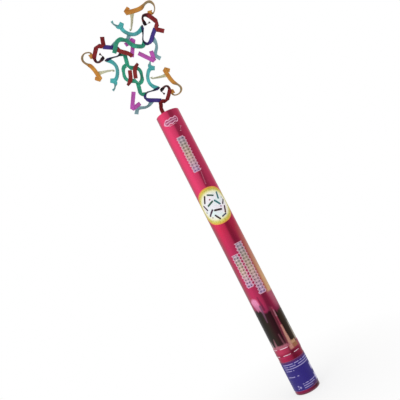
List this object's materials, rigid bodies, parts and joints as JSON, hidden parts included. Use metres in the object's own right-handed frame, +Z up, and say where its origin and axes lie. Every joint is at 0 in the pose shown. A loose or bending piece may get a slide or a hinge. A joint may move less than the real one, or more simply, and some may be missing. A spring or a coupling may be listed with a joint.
{
  "type": "confetti popper",
  "caption": "Hand-held twist-action confetti popper: foil-wrapped card tube, compressed-air twist base with spring striker, captive pusher and fired paper streamers.",
  "frame": {"origin": "centre of the flat foot, on the tube's axis", "axes": "+Z up the tube to the muzzle, -Y towards the printed front"},
  "size_m": [0.1758, 0.1072, 0.8028],
  "materials": {
    "card": "plain grey-brown card",
    "magenta_foil": "metallised magenta foil paper",
    "label_paper": "blue-violet printed paper",
    "magenta_plastic": "gloss",
    "white_plastic": "moulded",
    "black_plastic": "moulded",
    "bottle_plastic": "blow-moulded",
    "aluminium": "rolled",
    "silver_foil": "thin foil",
    "steel": "drawn",
    "rubber": "matte",
    "felt": "pressed felt",
    "paper_red": "foil paper",
    "paper_maroon": "foil paper",
    "paper_blue": "foil paper",
    "paper_orange": "foil paper",
    "paper_gold": "foil paper",
    "paper_cyan": "foil paper",
    "paper_teal": "foil paper",
    "paper_magenta": "foil paper",
    "paper_green": "foil paper"
  },
  "bodies": {
    "barrel": {"barrel_tube": "card", "barrel_foil": "magenta_foil", "seam_collar": "magenta_foil", "coupler": "white_plastic", "seam_o_ring": "rubber", "air_bottle": "bottle_plastic", "neck_gasket": "rubber", "neck_seal": "aluminium", "neck_cap": "aluminium", "fill_valve": "rubber", "cylinder_spider": "white_plastic", "stop_ring": "card", "muzzle_ring": "card", "muzzle_seal": "silver_foil"},
    "twist_base": {"base_sleeve": "card", "base_foil": "magenta_foil", "base_label": "label_paper", "end_plug": "magenta_plastic", "trigger_core": "white_plastic", "retaining_ring": "white_plastic", "striker_spring": "steel"},
    "striker": {"striker_carrier": "black_plastic", "striker_pin": "steel"},
    "pusher": {"pusher_cup": "card", "pusher_felt": "felt"},
    "streamers": {"streamer_low_red": "paper_red", "streamer_low_blue": "paper_blue", "streamer_low_orange": "paper_orange", "streamer_low_gold": "paper_gold", "streamer_low_cyan": "paper_cyan", "streamer_low_teal": "paper_teal", "streamer_low_magenta": "paper_magenta", "streamer_low_green": "paper_green", "streamer_low_maroon": "paper_maroon", "streamer_left_red": "paper_red", "streamer_left_blue": "paper_blue", "streamer_left_orange": "paper_orange", "streamer_left_gold": "paper_gold", "streamer_left_cyan": "paper_cyan", "streamer_left_teal": "paper_teal", "streamer_left_magenta": "paper_magenta", "streamer_left_green": "paper_green", "streamer_left_maroon": "paper_maroon", "streamer_right_red": "paper_red", "streamer_right_blue": "paper_blue", "streamer_right_orange": "paper_orange", "streamer_right_gold": "paper_gold", "streamer_right_cyan": "paper_cyan", "streamer_right_teal": "paper_teal", "streamer_right_magenta": "paper_magenta", "streamer_right_green": "paper_green", "streamer_right_maroon": "paper_maroon"}
  },
  "joints": [
    {"name": "base_twist", "type": "hinge", "parent": "barrel", "child": "twist_base", "pos_m": [0, 0, 0], "axis": [0, 0, 1], "range_deg": [-75, 0]},
    {"name": "striker_slide", "type": "slide", "parent": "barrel", "child": "striker", "axis": [0, 0, 1], "range_m": [-0.014, 0], "stiffness_N_per_m": 800, "springref_m": 0.006, "deforming": ["striker_spring"]},
    {"name": "pusher_slide", "type": "slide", "parent": "barrel", "child": "pusher", "axis": [0, 0, 1], "range_m": [0, 0.34]},
    {"name": "streamer_flight", "type": "slide", "parent": "barrel", "child": "streamers", "axis": [0, 0, 1], "range_m": [0, 0.25]}
  ]
}
